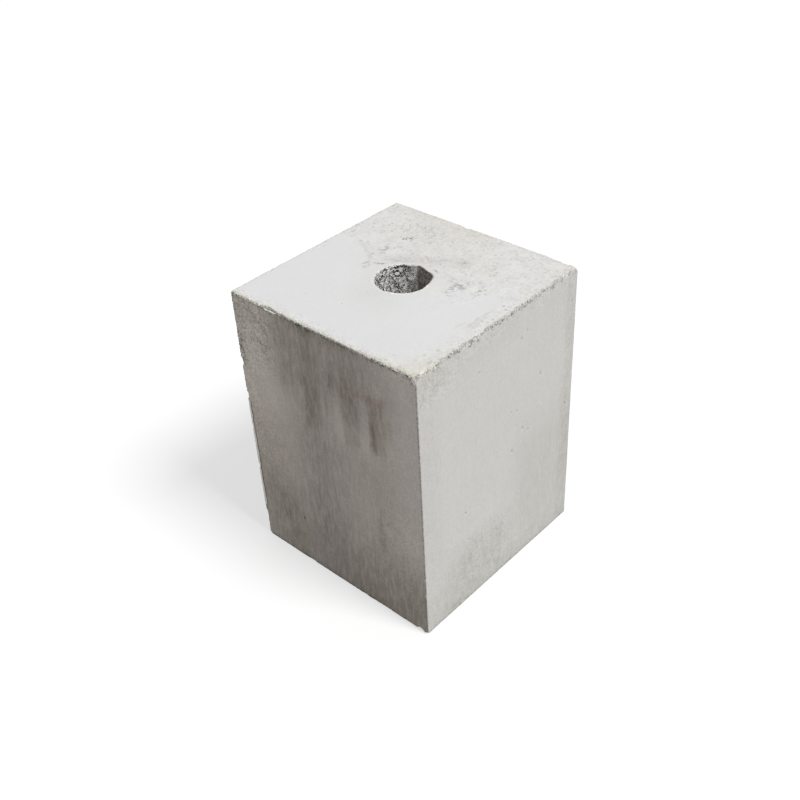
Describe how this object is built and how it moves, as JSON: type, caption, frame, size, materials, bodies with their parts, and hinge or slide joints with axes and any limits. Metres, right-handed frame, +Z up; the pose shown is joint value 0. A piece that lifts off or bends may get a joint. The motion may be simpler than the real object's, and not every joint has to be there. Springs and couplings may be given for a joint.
{
  "type": "concrete deck pier block",
  "caption": "Square cast concrete block that carries a deck post or joist, with a round socket down its middle for a pin or dowel.",
  "frame": {"origin": "middle of the base, on the socket's axis", "axes": "+Z up along the socket's axis and the block's long side, +X and +Y square to the side faces"},
  "size_m": [0.15, 0.15, 0.2],
  "materials": {
    "concrete": "matte cast concrete, stained and worn"
  },
  "bodies": {
    "root": {"pier_block": "concrete"}
  },
  "joints": []
}
